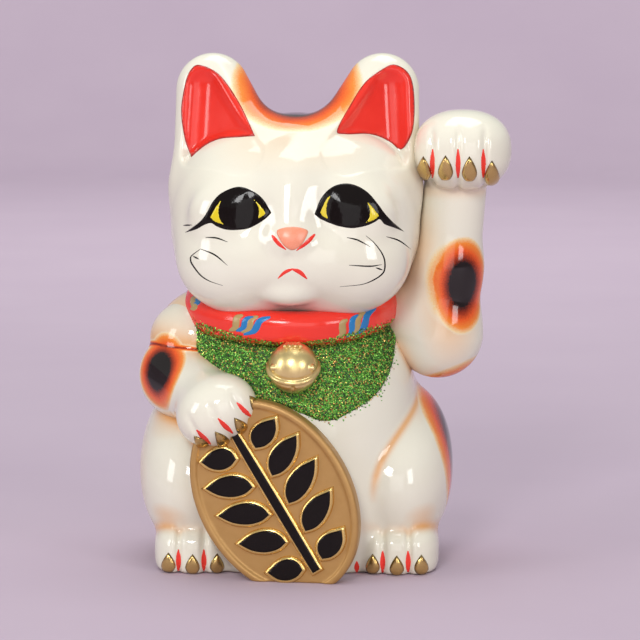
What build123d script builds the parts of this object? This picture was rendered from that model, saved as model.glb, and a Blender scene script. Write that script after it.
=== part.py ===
"""Ceramic beckoning cat figurine, as the slip castings and pressings that are luted together.

Millimetres. The figure stands on Z = 0 and faces -Y; its raised arm is on the +X side.
The origin is the middle of the resting face, on the figure's middle plane.
"""

from build123d import *
import os
from math import cos, radians, sin

# ---- driving dimensions -------------------------------------------------------------------
WALL = 5.0  # thickness of a slip-cast wall
EAR_TIP_Z = 246.0  # overall height

# belly and chest: an egg cut flat at the base, with a straight neck inside the collar
TORSO_CENTRE = (0.0, 6.0, 50.0)
TORSO_RADII = (61.0, 61.0, 92.0)
NECK_RADIUS = 41.0
NECK_BOTTOM_Z = 100.0
NECK_TOP_Z = 134.0
HOLLOW_BOTTOM_Z = 7.0
POUR_HOLE_RADIUS = 12.0
POUR_HOLE_Y = 20.0

# head: an ellipsoid, with the muzzle and nose on it
HEAD_CENTRE = (0.0, -8.0, 168.0)
HEAD_RADII = (61.0, 51.0, 49.5)
NECK_HOLE_RADIUS = 22.0
MUZZLE_CENTRE = (0.0, -52.0, 152.0)
MUZZLE_RADII = (21.0, 12.0, 17.0)
NOSE_CENTRE = (0.0, -61.0, 164.0)
NOSE_RADII = (7.5, 5.0, 6.0)

# ears: each front outline is a small round tip run into a large round root
EAR_TIP_RADIUS = 12.0
EAR_TIP_X = 45.0
EAR_ROOT_RADIUS = 25.0
EAR_ROOT = (33.0, 198.0)  # X, Z
EAR_FRONT_Y = -22.0
EAR_THICKNESS = 22.0
EAR_ROUND = 7.0
SCOOP_DEPTH = 4.5
SCOOP_BORDER = 5.5

# thighs, hind feet and the shoulder of the resting arm
HAUNCH_CENTRE = (49.5, 6.0, 50.0)
HAUNCH_RADII = (27.0, 50.0, 36.0)
FOOT_WIDTH = 40.0
FOOT_X = 46.5
FOOT_HEIGHT = 26.0
FOOT_FRONT_Y = -51.0
FOOT_LENGTH = 60.0
FOOT_ROUND = 9.0
SHOULDER_CENTRE = (-45.5, 0.0, 104.0)
SHOULDER_RADII = (23.5, 26.0, 24.0)

# tail: a short bob lying against the back
TAIL_LOW = (-10.0, 66.0, 20.0)
TAIL_HIGH = (14.0, 68.0, 46.0)
TAIL_RADIUS = 9.5

# raised arm: a taper from elbow to wrist, with a round fist on top
ELBOW = (68.0, 0.0, 111.0)
WRIST = (77.0, -4.0, 183.0)
ELBOW_RADIUS = 20.5
WRIST_RADIUS = 14.5
FIST_CENTRE = (80.0, -14.0, 201.0)
FIST_RADII = (23.0, 24.0, 19.5)
ARM_DRAIN_RADIUS = 8.0  # the hole that the slip drained through, closed by the torso

# resting arm: a forearm across the belly, with its paw on the coin
FOREARM_BACK = (-58.0, -10.0, 94.0)
FOREARM_FRONT = (-40.0, -53.0, 74.0)
FOREARM_RADIUS = 18.0
PAW_CENTRE = (-36.5, -58.0, 72.0)
PAW_RADII = (22.0, 15.0, 17.0)
PAW_TURN = -35.0  # the row of toes slopes up to the figure's middle

# oval coin stood on its edge against the belly
COIN_CENTRE = (-7.5, -61.0, 40.0)
COIN_LONG = 49.8  # half of the long axis
COIN_SHORT = 36.7
COIN_THICKNESS = 10.0
COIN_TILT = 31.5  # long axis from upright, top towards -X
COIN_YAW = 8.0  # face turned a little towards -X
COIN_ROUND = 1.5
RIM_WIDTH = 3.2
FIELD_DEPTH = 1.4
STEM_WIDTH = 4.5
STEM_LENGTH = 74.0
LEAF_PAIRS = 5
LEAF_PITCH = 14.0
LEAF_LENGTH = 24.0
LEAF_WIDTH = 7.5
LEAF_SPREAD = 52.0  # leaf from the stem

# collar, bib and bell
COLLAR_CENTRE = (0.0, -3.0, 125.0)
COLLAR_RADIUS = 50.3
COLLAR_HEIGHT = 16.0
COLLAR_ROUND = 6.0
COLLAR_TILT = 8.5  # front edge lower
BIB_CENTRE_Z = 116.0
BIB_HALF_WIDTH = 50.0
BIB_DROP = 44.0
BIB_THICKNESS = 1.2
BELL_CENTRE = (-0.5, -56.5, 101.0)
BELL_RADIUS = 12.2
BELL_LIP_RADIUS = 1.1
BELL_LIP_TILT = 52.0  # the slot's lip, tipped so that it reads as a smile from the front


# ---- shape helpers ------------------------------------------------------------------------
def ellipsoid(centre, radii, turn=0.0):
    """Ellipsoid of three radii, turned about the Y direction through its centre."""
    with BuildPart(mode=Mode.PRIVATE) as ball:
        Sphere(1)
        scale(by=radii)
    return ball.part.moved(Location(centre, (0, turn, 0)))


def rod(start, end, start_radius, end_radius):
    """Straight round-ended rod or taper from start to end."""
    run = Vector(*end) - Vector(*start)
    with BuildPart(mode=Mode.PRIVATE) as solid:
        with BuildSketch(Plane.XZ):
            Polygon((0, 0), (start_radius, 0), (end_radius, run.length), (0, run.length), align=None)
        revolve(axis=Axis.Z)
        Sphere(start_radius)
        with Locations((0, 0, run.length)):
            Sphere(end_radius)
    return solid.part.moved(Plane(origin=start, z_dir=run).location)


def torso_form(inset):
    """Belly and chest without the neck, shrunk all round by inset."""
    return ellipsoid(TORSO_CENTRE, tuple(radius - inset for radius in TORSO_RADII))


def head_form(inset):
    """Head without ears or muzzle, shrunk all round by inset."""
    return ellipsoid(HEAD_CENTRE, tuple(radius - inset for radius in HEAD_RADII))


def haunch_form(side, inset):
    """Thigh on one side, shrunk all round by inset."""
    centre = (side * HAUNCH_CENTRE[0], HAUNCH_CENTRE[1], HAUNCH_CENTRE[2])
    return ellipsoid(centre, tuple(radius - inset for radius in HAUNCH_RADII))


def foot_form(side):
    """Hind foot on one side, with rounded upright edges and a rounded top."""
    with BuildPart(mode=Mode.PRIVATE) as foot:
        with BuildSketch(Plane.XY):
            with Locations((side * FOOT_X, FOOT_FRONT_Y + FOOT_LENGTH / 2)):
                RectangleRounded(FOOT_WIDTH, FOOT_LENGTH, FOOT_ROUND)
        extrude(amount=FOOT_HEIGHT)
        fillet(foot.faces().sort_by(Axis.Z)[-1].edges(), FOOT_ROUND - 1)
    return foot.part


# ---- outer forms, each used to shape the pieces that lie against it -------------------------
head_core = head_form(0)
muzzle = ellipsoid(MUZZLE_CENTRE, MUZZLE_RADII)
nose = ellipsoid(NOSE_CENTRE, NOSE_RADII)
torso_core = torso_form(0)
shoulder = ellipsoid(SHOULDER_CENTRE, SHOULDER_RADII)
haunches = [haunch_form(side, 0) for side in (-1, 1)]
feet = [foot_form(side) for side in (-1, 1)]

with BuildPart() as head_outside:
    add(head_core)
    add(muzzle)
    add(nose)

with BuildPart() as body_outside:
    add(torso_core)
    with BuildSketch(Plane.XY.offset(NECK_BOTTOM_Z)):
        Circle(NECK_RADIUS)
    extrude(amount=NECK_TOP_Z - NECK_BOTTOM_Z)
    add(shoulder)
    add(haunches)
    add(feet)
    split(bisect_by=Plane.XY, keep=Keep.TOP)
    add(head_core, mode=Mode.SUBTRACT)

raised_limb = rod(ELBOW, WRIST, ELBOW_RADIUS, WRIST_RADIUS)
fist = ellipsoid(FIST_CENTRE, FIST_RADII)

with BuildPart() as arm_outside:
    add(raised_limb)
    add(fist)

collar_tilt = Location(COLLAR_CENTRE, (COLLAR_TILT, 0, 0))
with BuildPart() as collar_outside:
    Cylinder(COLLAR_RADIUS, COLLAR_HEIGHT)
    fillet(collar_outside.edges(), COLLAR_ROUND)
collar_disc = collar_outside.part.moved(collar_tilt)

# the coin's own plane: x along the long axis, z out of the face
coin_out = Vector(-sin(radians(COIN_YAW)), -cos(radians(COIN_YAW)), 0)
coin_across = Vector(cos(radians(COIN_YAW)), -sin(radians(COIN_YAW)), 0)
coin_up = Vector(0, 0, 1) * cos(radians(COIN_TILT)) - coin_across * sin(radians(COIN_TILT))
coin_plane = Plane(origin=COIN_CENTRE, x_dir=coin_up, z_dir=coin_out)
coin_face = coin_plane.offset(COIN_THICKNESS / 2)
coin_field = coin_plane.offset(COIN_THICKNESS / 2 - FIELD_DEPTH)

with BuildPart() as coin_outside:
    with BuildSketch(coin_plane):
        Ellipse(COIN_LONG, COIN_SHORT)
    extrude(amount=COIN_THICKNESS / 2, both=True)
    fillet(coin_outside.edges(), COIN_ROUND)
    split(bisect_by=Plane.XY, keep=Keep.TOP)

# ---- torso_casting: belly, chest, thighs and hind feet, hollow, with the open pour hole ------
haunch_hollows = [haunch_form(side, WALL) for side in (-1, 1)]

with BuildPart() as torso_hollow:
    add(torso_form(WALL))
    add(haunch_hollows)
    split(bisect_by=Plane.XY.offset(HOLLOW_BOTTOM_Z), keep=Keep.TOP)

with BuildPart() as torso_casting:
    add(body_outside.part)
    add(torso_hollow.part, mode=Mode.SUBTRACT)
    with Locations((0, POUR_HOLE_Y, HOLLOW_BOTTOM_Z / 2)):
        Cylinder(POUR_HOLE_RADIUS, 2 * HOLLOW_BOTTOM_Z, mode=Mode.SUBTRACT)

# ---- head_casting: head with muzzle and nose, hollow, open at the neck ------------------------
head_hollow = head_form(WALL)

with BuildPart() as head_casting:
    add(head_outside.part)
    add(head_hollow, mode=Mode.SUBTRACT)
    with Locations((0, 0, HEAD_CENTRE[2] - HEAD_RADII[2])):
        Cylinder(NECK_HOLE_RADIUS, 6 * WALL, mode=Mode.SUBTRACT)


# ---- left_ear and right_ear: luted on the head, each with a scooped front ---------------------
def ear_outline(side, border):
    """Outline of one ear, inside its edge by border, for a sketch that is open."""
    with Locations((side * EAR_TIP_X, EAR_TIP_Z - EAR_TIP_RADIUS)):
        Circle(EAR_TIP_RADIUS - border)
    with Locations((side * EAR_ROOT[0], EAR_ROOT[1])):
        Circle(EAR_ROOT_RADIUS - border)
    make_hull()


def ear_piece(side):
    """One ear, cut to the head and to the raised arm."""
    front = Plane.XZ.offset(-EAR_FRONT_Y)
    with BuildPart(mode=Mode.PRIVATE) as ear:
        with BuildSketch(front):
            ear_outline(side, 0)
        extrude(amount=-EAR_THICKNESS)
        fillet(ear.edges(), EAR_ROUND)
        with BuildSketch(front):
            ear_outline(side, SCOOP_BORDER)
        extrude(amount=-SCOOP_DEPTH, mode=Mode.SUBTRACT)
        add(head_outside.part, mode=Mode.SUBTRACT)
        add(arm_outside.part, mode=Mode.SUBTRACT)
    return ear.part


left_ear = ear_piece(-1)
right_ear = ear_piece(1)

# ---- raised_arm_casting: hollow, drained towards the torso -------------------------------------
arm_hollow = rod(ELBOW, WRIST, ELBOW_RADIUS - WALL, WRIST_RADIUS - WALL)
fist_hollow = ellipsoid(FIST_CENTRE, tuple(radius - WALL for radius in FIST_RADII))

with BuildPart() as raised_arm_casting:
    add(arm_outside.part)
    add(body_outside.part, mode=Mode.SUBTRACT)
    add(head_outside.part, mode=Mode.SUBTRACT)
    add(arm_hollow, mode=Mode.SUBTRACT)
    add(fist_hollow, mode=Mode.SUBTRACT)
    with BuildSketch(Plane.YZ.offset(ELBOW[0])):
        with Locations((ELBOW[1], ELBOW[2] - WALL)):
            Circle(ARM_DRAIN_RADIUS)
    extrude(amount=-ELBOW_RADIUS, mode=Mode.SUBTRACT)

# ---- resting_arm_casting: forearm and paw, solid ------------------------------------------------
forearm = rod(FOREARM_BACK, FOREARM_FRONT, FOREARM_RADIUS, FOREARM_RADIUS)
paw = ellipsoid(PAW_CENTRE, PAW_RADII, PAW_TURN)

with BuildPart() as resting_arm_casting:
    add(forearm)
    add(paw)
    add(body_outside.part, mode=Mode.SUBTRACT)
    add(coin_outside.part, mode=Mode.SUBTRACT)

# ---- tail: a short bob, solid ---------------------------------------------------------------------
with BuildPart() as tail:
    add(rod(TAIL_LOW, TAIL_HIGH, TAIL_RADIUS, TAIL_RADIUS))
    add(body_outside.part, mode=Mode.SUBTRACT)

# ---- coin_plaque: oval coin with a raised rim and a raised leaf spray --------------------------------
first_leaf = -(LEAF_PAIRS - 1) / 2 * LEAF_PITCH

with BuildPart() as coin_plaque:
    add(coin_outside.part)
    with BuildSketch(coin_face):
        Ellipse(COIN_LONG - RIM_WIDTH, COIN_SHORT - RIM_WIDTH)
    extrude(amount=-FIELD_DEPTH, mode=Mode.SUBTRACT)
    with BuildSketch(coin_field):
        SlotOverall(STEM_LENGTH, STEM_WIDTH)
        for pair in range(LEAF_PAIRS):
            root = first_leaf + pair * LEAF_PITCH
            for side in (-1, 1):
                lean = radians(side * LEAF_SPREAD)
                middle = (root + LEAF_LENGTH / 2 * cos(lean), LEAF_LENGTH / 2 * sin(lean))
                with Locations(Location(middle, side * LEAF_SPREAD)):
                    Ellipse(LEAF_LENGTH / 2, LEAF_WIDTH / 2)
        Ellipse(COIN_LONG - RIM_WIDTH, COIN_SHORT - RIM_WIDTH, mode=Mode.INTERSECT)
    extrude(amount=FIELD_DEPTH)
    add(body_outside.part, mode=Mode.SUBTRACT)

# ---- collar_band ------------------------------------------------------------------------------------
with BuildPart() as collar_band:
    add(collar_disc)
    add(head_outside.part, mode=Mode.SUBTRACT)
    add(body_outside.part, mode=Mode.SUBTRACT)
    add(arm_outside.part, mode=Mode.SUBTRACT)

# ---- glitter_bib: thin layer on the chest below the collar ------------------------------------------------
bib_skin = torso_form(-BIB_THICKNESS)

with BuildPart() as glitter_bib:
    with BuildSketch(Plane.XZ):
        with Locations((0, BIB_CENTRE_Z)):
            Ellipse(BIB_HALF_WIDTH, BIB_DROP)
            Rectangle(
                2 * BIB_HALF_WIDTH, BIB_DROP, align=(Align.CENTER, Align.MAX), mode=Mode.INTERSECT
            )
    extrude(amount=TORSO_RADII[1])
    add(bib_skin, mode=Mode.INTERSECT)
    add(body_outside.part, mode=Mode.SUBTRACT)
    add(collar_disc, mode=Mode.SUBTRACT)
    add(head_outside.part, mode=Mode.SUBTRACT)
    add(arm_outside.part, mode=Mode.SUBTRACT)
    add(forearm, mode=Mode.SUBTRACT)
    add(paw, mode=Mode.SUBTRACT)
    add(coin_outside.part, mode=Mode.SUBTRACT)
bib_sheet = glitter_bib.part.solids().sort_by(SortBy.VOLUME)[-1]

# ---- bell -------------------------------------------------------------------------------------------
with BuildPart() as bell:
    with Locations(BELL_CENTRE):
        Sphere(BELL_RADIUS)
    with Locations(Location(BELL_CENTRE, (90 - BELL_LIP_TILT, 0, 0))):
        Torus(BELL_RADIUS, BELL_LIP_RADIUS)
    add(bib_sheet, mode=Mode.SUBTRACT)
    add(body_outside.part, mode=Mode.SUBTRACT)
    add(collar_band.part, mode=Mode.SUBTRACT)
    add(coin_outside.part, mode=Mode.SUBTRACT)

# ---- label and write ------------------------------------------------------------------------------------
pieces = {
    "torso_casting": torso_casting.part,
    "head_casting": head_casting.part,
    "left_ear": left_ear,
    "right_ear": right_ear,
    "raised_arm_casting": raised_arm_casting.part,
    "resting_arm_casting": resting_arm_casting.part,
    "tail": tail.part,
    "coin_plaque": coin_plaque.part,
    "collar_band": collar_band.part,
    "glitter_bib": bib_sheet,
    "bell": bell.part,
}
os.makedirs("parts", exist_ok=True)
for name, piece in pieces.items():
    piece.label = name
    export_step(piece, f"parts/{name}.step")
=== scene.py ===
import math

import bmesh
import bpy
import numpy as np
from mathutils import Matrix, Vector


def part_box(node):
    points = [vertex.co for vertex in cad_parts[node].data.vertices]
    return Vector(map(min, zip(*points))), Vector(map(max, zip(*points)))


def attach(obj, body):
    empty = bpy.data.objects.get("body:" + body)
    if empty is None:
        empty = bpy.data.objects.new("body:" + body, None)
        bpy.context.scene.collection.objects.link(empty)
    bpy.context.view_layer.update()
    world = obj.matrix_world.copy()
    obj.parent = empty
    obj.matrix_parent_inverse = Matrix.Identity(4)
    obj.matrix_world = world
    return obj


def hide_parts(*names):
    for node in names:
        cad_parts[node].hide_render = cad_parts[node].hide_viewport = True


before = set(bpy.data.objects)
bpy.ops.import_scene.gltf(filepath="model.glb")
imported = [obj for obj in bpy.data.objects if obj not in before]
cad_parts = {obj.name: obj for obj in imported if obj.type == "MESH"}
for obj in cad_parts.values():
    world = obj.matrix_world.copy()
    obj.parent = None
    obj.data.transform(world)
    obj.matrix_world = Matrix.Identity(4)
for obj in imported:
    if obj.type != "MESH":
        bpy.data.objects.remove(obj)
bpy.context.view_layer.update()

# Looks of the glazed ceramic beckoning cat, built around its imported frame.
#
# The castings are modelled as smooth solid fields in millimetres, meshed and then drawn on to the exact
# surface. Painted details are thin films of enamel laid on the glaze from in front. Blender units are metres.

import openvdb
from mathutils import Vector
from mathutils.bvhtree import BVHTree
from mathutils.geometry import delaunay_2d_cdt

MM = 0.001


def corners(node):
    """Lowest and highest corners of a node, in millimetres."""
    low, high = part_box(node)
    return np.array(low) / MM, np.array(high) / MM


def mesh_object(name, points, faces, smooth=True):
    """New object in the scene, of points in metres."""
    mesh = bpy.data.meshes.new(name)
    mesh.from_pydata(points, [], faces)
    if smooth:
        mesh.shade_smooth()
    made_object = bpy.data.objects.new(name, mesh)
    bpy.context.collection.objects.link(made_object)
    return made_object


# ---- anchors, all read from the frame
torso_low, torso_high = corners("torso_casting")
head_low, head_high = corners("head_casting")
fist_low, fist_high = corners("raised_arm_casting")
paw_low, paw_high = corners("resting_arm_casting")
coin_low, coin_high = corners("coin_plaque")
tail_low, tail_high = corners("tail")
bell_low, bell_high = corners("bell")
collar_low, collar_high = corners("collar_band")
ear_top = corners("left_ear")[1][2]

HEAD = np.array(((head_low[0] + head_high[0]) / 2, head_high[1] - 51, head_high[2] - 50))
TORSO = np.array((0, torso_high[1] - 61, 50))
FIST = np.array((fist_high[0] - 23, fist_low[1] + 24, fist_high[2] - 19.5))
COLLAR = (collar_low + collar_high) / 2
BELL_MIDDLE = (bell_low + bell_high) / 2
BELL_SHIFT = np.array((1.4, 0, 0))  # the ball hangs this far to one side of its loop
BELL = np.array((BELL_MIDDLE[0], bell_low[1] + 12.8, BELL_MIDDLE[2])) + BELL_SHIFT
COIN = (coin_low + coin_high) / 2

# ---- camera
CAMERA_AZIMUTH = math.radians(2.0)
CAMERA_ELEVATION = math.radians(7.0)
CAMERA_DISTANCE = 1500.0
FRAME_WIDTH = 307.0  # width of the picture at the aim point
SENSOR = 36.0
AIM = Vector((12.4, -25.0, 119.8))

sight = Vector((
    -math.sin(CAMERA_AZIMUTH) * math.cos(CAMERA_ELEVATION),
    math.cos(CAMERA_AZIMUTH) * math.cos(CAMERA_ELEVATION),
    -math.sin(CAMERA_ELEVATION),
))
eye_point = AIM - sight * CAMERA_DISTANCE
right_hand = Vector((math.cos(CAMERA_AZIMUTH), math.sin(CAMERA_AZIMUTH), 0))
overhead = right_hand.cross(sight)


def add_camera():
    data = bpy.data.cameras.new("camera")
    data.sensor_width = SENSOR
    data.lens = SENSOR * CAMERA_DISTANCE / FRAME_WIDTH
    data.clip_end = 20
    camera = bpy.data.objects.new("camera", data)
    bpy.context.collection.objects.link(camera)
    camera.location = eye_point * MM
    camera.rotation_euler = sight.to_track_quat("-Z", "Y").to_euler()
    bpy.context.scene.camera = camera


add_camera()


# ---- solid fields: signed distances in millimetres
def smin(a, b, k):
    """Union of two fields with a soft fillet of about k."""
    h = np.maximum(k - np.abs(a - b), 0) / k
    return np.minimum(a, b) - h * h * k / 4


def smax(a, b, k):
    """Intersection of two fields with a soft edge of about k."""
    return -smin(-a, -b, k)


def turn_y(degrees):
    c, s = math.cos(math.radians(degrees)), math.sin(math.radians(degrees))
    return np.array(((c, 0, s), (0, 1, 0), (-s, 0, c)))


def turn_x(degrees):
    c, s = math.cos(math.radians(degrees)), math.sin(math.radians(degrees))
    return np.array(((1, 0, 0), (0, c, -s), (0, s, c)))


def egg(p, centre, radii, power=2.0, turn=None):
    """Ellipsoid, or a squarer one for a power above 2."""
    q = p - np.asarray(centre, dtype=np.float32)
    if turn is not None:
        q = q @ turn
    q = np.abs(q) / np.asarray(radii, dtype=np.float32) + 1e-5
    total = (q ** power).sum(axis=1) ** (1 / power)
    slope = (q ** (power - 1)) * (total ** (1 - power))[:, None] / np.asarray(radii, dtype=np.float32)
    return (total - 1) / np.sqrt((slope * slope).sum(axis=1))


def rod(p, start, end, start_radius, end_radius):
    """Round-ended taper from start to end."""
    start = np.asarray(start, dtype=np.float32)
    run = np.asarray(end, dtype=np.float32) - start
    along = np.clip((p - start) @ run / (run @ run), 0, 1)
    gap = p - start - along[:, None] * run
    return np.sqrt((gap * gap).sum(axis=1)) - (start_radius + (end_radius - start_radius) * along)


def slab(p, a, b, c, radius):
    """Rounded triangular slab of the given half thickness."""
    a, b, c = (np.asarray(v, dtype=np.float32) for v in (a, b, c))
    normal = np.cross(b - a, c - a)
    inside = np.ones(len(p), dtype=bool)
    nearest = np.full(len(p), 1e9, dtype=np.float32)
    for start, end in ((a, b), (b, c), (c, a)):
        inside &= (p - start) @ np.cross(normal, end - start) > 0
        nearest = np.minimum(nearest, rod(p, start, end, 0, 0))
    flat = np.abs((p - a) @ normal) / np.linalg.norm(normal)
    return np.where(inside, flat, nearest) - radius


# -- head and ears
def ear(p, side):
    """Thick rounded ear, a little flatter than it is wide."""
    q = p.copy()
    q[:, 1] = (q[:, 1] - HEAD[1] - 1.5) * 1.5
    tip = (side * 40.8 + 0.9, 3, ear_top - 17.0)
    outer = (side * 41.4 + 0.4, -8, HEAD[2] + 20)
    inner = (side * 23, -25, HEAD[2] + 33)
    return slab(q, tip, outer, inner, 17.8) * 0.9


def ear_scoop(p, side):
    """The hollowed front of the ear, turned a little outward."""
    tip = HEAD + (side * 46.6 + 0.4, -13.0, 65.0)
    outer = HEAD + (side * 48.2 + 0.4, -17.5, 36)
    inner = HEAD + (side * 23.5, -36.0, 31)
    return slab(p, tip, outer, inner, 10.1)


def head_core(p):
    skull = egg(p, HEAD + (0, 0, -0.5), (60.2, 51, 48.5), 2.4)
    for side in (-1, 1):
        skull = smin(skull, egg(p, HEAD + (side * 27, -31, -20), (25, 20, 20)), 16)
        skull = smax(skull, -egg(p, HEAD + (side * 15.5, -57.5, 7), (7, 6.5, 9)), 10)
        skull = smin(skull, egg(p, HEAD + (side * 27, -39, 6), (20, 10.5, 14)), 8)
    skull = smin(skull, rod(p, HEAD + (-1, -46.5, 2), HEAD + (0, -38.5, 22), 8.5, 9), 13)
    skull = smin(skull, egg(p, HEAD + (-0.5, -45, -17), (23, 11, 13)), 12)
    skull = smin(skull, egg(p, HEAD + (-1, -50, -5.5), (9.5, 9, 6.5)), 6)
    skull = smin(skull, egg(p, HEAD + (-1, -46, -31), (11, 8.5, 6)), 5)
    skull = smin(skull, egg(p, HEAD + (0.5, 2, 40), (21, 22, 9.3)), 8)
    lip = rod(p, HEAD + (-1, -60, -14), HEAD + (-1, -60, -21), 1.6, 1.6)
    return smax(skull, -lip, 3)


def head_field(p):
    core = head_core(p)
    both = smin(ear(p, -1), ear(p, 1), 9.0)
    scoop = smax(np.minimum(ear_scoop(p, -1), ear_scoop(p, 1)), 0.4 - core, 1.0)
    return smax(smin(core, both, 11.0), -scoop, 2.0)


def groove(p, centre, across, down, width, reach):
    """How much a groove between two toes sinks in at each point; it runs along down."""
    q = p - np.asarray(centre, dtype=np.float32)
    aside = q @ np.asarray(across, dtype=np.float32)
    along = q @ np.asarray(down, dtype=np.float32)
    fade = 1 / (1 + np.exp(-(along + reach) / 1.6))
    return np.exp(-(aside / width) ** 2) * fade


# -- belly, thighs and hind feet
HAUNCH = (48.5, 0, 46)
HAUNCH_TURN = 24
FOOT_X = {-1: -47.5, 1: 50.0}
FOOT = (-22, 9)
TOE_PITCH = 12.0
FOOT_GAPS = (-0.57, 0.45)  # grooves between the toes, in toe pitches from the foot's middle


def belly(p):
    return egg(p, TORSO, (60.8, 60.8, 88), 2.5)


def shoulder(p):
    return egg(p, (-42, -2, 107), (27, 27, 26))


def haunch(p, side):
    return egg(p, (side * HAUNCH[0], *HAUNCH[1:]), (28, 50, 36.5), 2.15, turn_x(HAUNCH_TURN))


def foot(p, side):
    sole = egg(p, (FOOT_X[side], *FOOT), (20, 27.5, 15.2), 3.0)
    for toe in FOOT_GAPS:
        gap = (FOOT_X[side] + toe * TOE_PITCH, -30, 12)
        sole = sole + 2.2 * groove(p, gap, (1, 0, 0), (0, -0.7, -0.7), 1.7, 6)
    return sole


def torso_parts(p):
    parts = [belly(p), shoulder(p)]
    for side in (-1, 1):
        parts += [haunch(p, side), foot(p, side)]
    return parts


POUR_HOLE = (0, 20, 0)


def torso_field(p):
    whole, chest, left_thigh, left_foot, right_thigh, right_foot = torso_parts(p)
    whole = smin(whole, chest, 7)
    whole = smin(whole, smin(left_thigh, right_thigh, 1), 4.5)
    whole = smin(whole, smin(left_foot, right_foot, 1), 3.5)
    whole = smax(whole, -p[:, 2], 2.0)
    cavity = egg(p, POUR_HOLE + np.array((0, 0, 42)), (40, 34, 35))
    hole = rod(p, POUR_HOLE, POUR_HOLE + np.array((0, 0, 20)), 12, 12)
    return smax(whole, -smin(cavity, hole, 3), 1.5)


# -- raised arm
WRIST = FIST + (-3, 10, -18)
ELBOW = np.array((69, 0, fist_low[2] + 20.5))
FIST_GAPS = (-14.2, -1.8, 10.6)


def raised_arm_field(p):
    limb = rod(p, ELBOW, ELBOW + (4, -2, 32), 20.3, 16.6)
    limb = smin(limb, rod(p, ELBOW + (4, -2, 32), WRIST, 16.2, 15.3), 8)
    limb = smin(limb, rod(p, ELBOW, ELBOW + (-14, 2, 6), 19, 17), 10)
    fist = egg(p, FIST + (0.5, 0, 0), (23.4, 23.6, 19.3), 2.3)
    in_front = p[:, 1] < FIST[1]
    for toe in FIST_GAPS:
        sink = groove(p, FIST + (toe, -18, 0), (1, 0, 0), (0, -0.3, -0.95), 1.5, 9)
        fist = fist + 1.5 * sink * in_front
    return smin(limb, fist, 2.5)


# -- resting arm
PAW = np.array((-35, paw_low[1] + 15, 80.3))
PAW_TURN = -29
PAW_GAPS = (-11.6, 0.1, 11.7)


def upper_arm(p):
    return egg(p, (-48.6, -7, 108.7), (22.3, 22.5, 19.3))


def forearm(p):
    fore = rod(p, (-55.5, -13, 91.5), (-36, -50, 80.5), 18.2, 15.4)
    return smin(fore, egg(p, (-54, -12, 91), (19, 18, 19.5)), 10)


def resting_arm_field(p):
    paw = egg(p, PAW, (18.4, 13.6, 13.0), 2.2, turn_y(PAW_TURN))
    along = np.array((math.cos(math.radians(PAW_TURN)), 0, -math.sin(math.radians(PAW_TURN))))
    down = np.array((-along[2], 0, along[0])) * (1, 1, -1)
    for gap in PAW_GAPS:
        sink = groove(p, PAW + along * gap, along, (0.48, -0.2, -0.85), 1.5, 2)
        paw = paw + 1.4 * sink * (p[:, 1] < PAW[1])
    return smin(smin(forearm(p), upper_arm(p), 2.4), paw, 12)


def tail_field(p):
    low = np.array((tail_low[0] + 9.5, tail_high[1] - 11.5, tail_low[2] + 9.5))
    high = np.array((tail_high[0] - 9.5, tail_high[1] - 9.6, tail_high[2] - 9.5))
    base = egg(p, (low[0] + 1, high[1] - 7, low[2] + 6), (12, 9, 14))
    return smin(rod(p, low, high, 9.0, 9.4), base, 6)


# ---- meshing
def gradient(field, points):
    step = 0.05
    parts = []
    for axis in range(3):
        shift = np.zeros(3, dtype=np.float32)
        shift[axis] = step
        parts.append((field(points + shift) - field(points - shift)) / (2 * step))
    return np.stack(parts, axis=1)


def sampled(field, low, shape, step):
    """The field on a grid, one level at a time to save memory."""
    x = low[0] + step * np.arange(shape[0], dtype=np.float32)
    y = low[1] + step * np.arange(shape[1], dtype=np.float32)
    values = np.empty(shape, dtype=np.float32)
    levels = 8
    for first in range(0, shape[2], levels):
        z = low[2] + step * np.arange(first, min(first + levels, shape[2]), dtype=np.float32)
        points = np.stack(np.meshgrid(x, y, z, indexing="ij"), axis=-1).reshape(-1, 3)
        values[:, :, first:first + levels] = field(points).reshape(len(x), len(y), len(z))
    return values


def cast(name, field, low, high, step):
    """Mesh object of the field's surface inside the box, with its points drawn on to the exact surface."""
    low = np.asarray(low, dtype=np.float32)
    shape = [int(math.ceil(side / step)) + 1 for side in np.asarray(high) - low]
    grid = openvdb.FloatGrid(100.0)
    grid.copyFromArray(sampled(field, low, shape, step))
    points, triangles, quads = grid.convertToPolygons(isovalue=0.0)
    points = low + points.astype(np.float32) * step
    for _ in range(3):
        slope = gradient(field, points)
        size = np.maximum((slope * slope).sum(axis=1), 0.2)
        move = np.clip(field(points) / size, -step, step)
        points = points - slope * move[:, None]
    faces = [tuple(int(i) for i in face) for kind in (quads, triangles) for face in kind]
    corner = points[quads[:, :3]]
    facing = np.cross(corner[:, 1] - corner[:, 0], corner[:, 2] - corner[:, 0])
    outward = gradient(field, corner.mean(axis=1))
    if (facing * outward).sum() < 0:
        faces = [face[::-1] for face in faces]
    return mesh_object(name, (points * MM).tolist(), faces), points


def tint(piece, name, values):
    """A number at each point of the mesh, for the material to read."""
    layer = piece.data.attributes.new(name, "FLOAT", "POINT")
    layer.data.foreach_set("value", np.asarray(values, dtype=np.float32))


def glaze_tints(piece, tan_and_shade, tan_on, spot, bare):
    """The four numbers that the glaze reads: tan tint (partly airbrush, partly painted shade), where that
    tint shows, airbrushed spots (also carrying one painted shade line) and bare clay.
    """
    for name, values in (("tan_and_shade", tan_and_shade), ("tan_on", tan_on), ("spot", spot), ("bare", bare)):
        tint(piece, name, values)


def glow(p, centre, radii):
    """1 at the centre of a soft round patch, falling to 0 at its radii; it lays airbrushed spots and tan, and
    some patches of painted shade.
    """
    q = p - np.asarray(centre, dtype=np.float32)
    return np.clip(1 - np.sqrt(((q / np.asarray(radii, dtype=np.float32)) ** 2).sum(axis=1)), 0, 1)


def crease(p, fields, width):
    """1 where the two nearest of several fields meet, falling off over about width."""
    near = np.sort(np.stack([field(p) for field in fields]), axis=0)
    return np.exp(-((near[1] - near[0]) / width) ** 2)


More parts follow.
